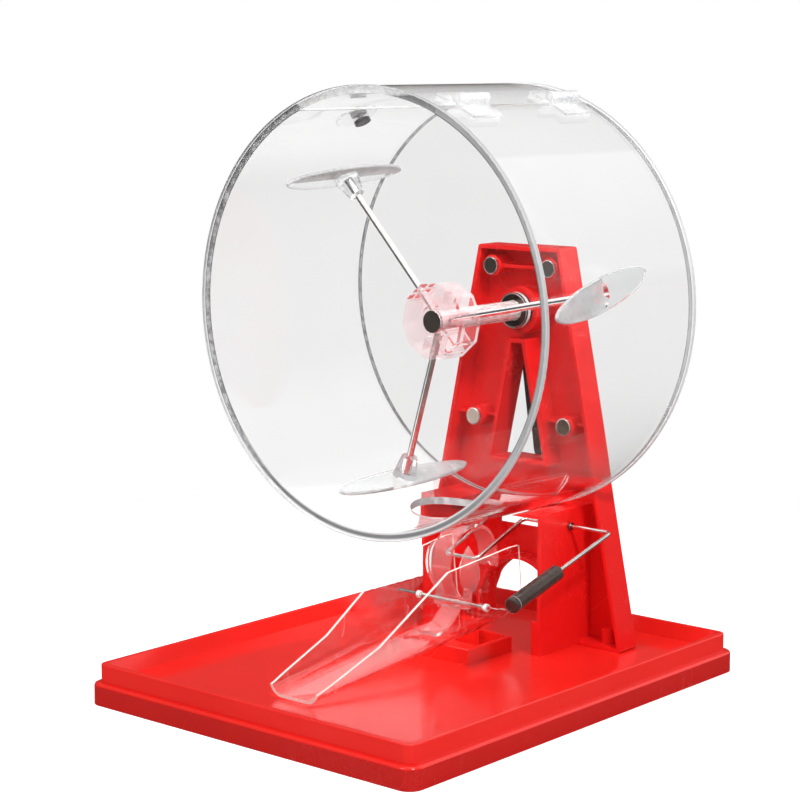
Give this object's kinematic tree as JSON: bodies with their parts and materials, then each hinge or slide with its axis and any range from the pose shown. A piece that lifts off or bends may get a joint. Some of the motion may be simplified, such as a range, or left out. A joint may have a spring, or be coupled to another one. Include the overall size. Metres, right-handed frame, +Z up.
{
  "type": "raffle drum",
  "caption": "Clear raffle drum on a red stand and tray, with a rear crank, paddles, hinged door, wire lever, rocking ball gate and chute.",
  "frame": {"origin": "centre of the tray's underside", "axes": "+Z up, the chute's mouth towards -Y, the crank towards +Y, the lever's grip on the +X side"},
  "size_m": [0.3, 0.355, 0.413],
  "materials": {
    "red_plastic": "glossy moulded",
    "clear_acrylic": "clear polished acrylic",
    "steel": "brushed",
    "black_plastic": "satin black",
    "black_rubber": "satin sleeve",
    "white_plastic": "satin white"
  },
  "bodies": {
    "stand": {"ball_chute": "clear_acrylic", "base_tray": "red_plastic", "door_hinge_fixed_back": "clear_acrylic", "door_hinge_fixed_front": "clear_acrylic", "door_hinge_pin_back": "clear_acrylic", "door_hinge_pin_front": "clear_acrylic", "door_latch_screw": "black_plastic", "drum_back_disc": "clear_acrylic", "drum_front_disc": "clear_acrylic", "drum_mount_lower_left": "steel", "drum_mount_lower_right": "steel", "drum_mount_upper_left": "steel", "drum_mount_upper_right": "steel", "drum_tube": "clear_acrylic", "gate_collar_left": "white_plastic", "gate_collar_right": "white_plastic", "gate_pin": "steel", "shaft_bush": "steel", "stand_frame": "red_plastic", "stand_screw_1": "steel", "stand_screw_2": "steel", "stand_screw_3": "steel", "stand_screw_4": "steel"},
    "agitator": {"drive_shaft": "steel", "paddle_hub": "clear_acrylic", "paddle_rod_1": "steel", "paddle_rod_2": "steel", "paddle_rod_3": "steel", "paddle_1": "clear_acrylic", "paddle_2": "clear_acrylic", "paddle_3": "clear_acrylic", "crank_arm": "black_plastic", "crank_nut": "steel", "crank_pin": "steel"},
    "crank_handle": {"crank_knob": "black_plastic"},
    "door": {"drum_door": "clear_acrylic", "door_hinge_leaf_front": "clear_acrylic", "door_hinge_leaf_back": "clear_acrylic"},
    "latch": {"door_latch_disc": "clear_acrylic"},
    "lever": {"lever_wire": "steel", "lever_grip": "black_rubber", "lever_ferrule": "steel"},
    "gate": {"ball_gate": "clear_acrylic"}
  },
  "joints": [
    {"name": "agitator_turn", "type": "hinge", "parent": "stand", "child": "agitator", "pos_m": [0, 0.0228, 0.2527], "axis": [0, 1, 0], "continuous": true},
    {"name": "crank_handle_spin", "type": "hinge", "parent": "agitator", "child": "crank_handle", "pos_m": [0.00363, 0.158, 0.14876], "axis": [0, 1, 0], "continuous": true},
    {"name": "door_swing", "type": "hinge", "parent": "stand", "child": "door", "pos_m": [0.06304, 0.02375, 0.4046], "axis": [0, 1, 0], "range_deg": [0, 110]},
    {"name": "latch_turn", "type": "hinge", "parent": "stand", "child": "latch", "pos_m": [-0.07593, 0.02375, 0.3919], "axis": [-0.5075, 0, 0.8616], "continuous": true},
    {"name": "lever_press", "type": "hinge", "parent": "stand", "child": "lever", "pos_m": [0, 0.0981, 0.1046], "axis": [1, 0, 0], "range_deg": [0, 20]},
    {"name": "gate_rock", "type": "hinge", "parent": "stand", "child": "gate", "pos_m": [0, 0.0338, 0.0541], "axis": [1, 0, 0], "range_deg": [-12, 0]}
  ]
}
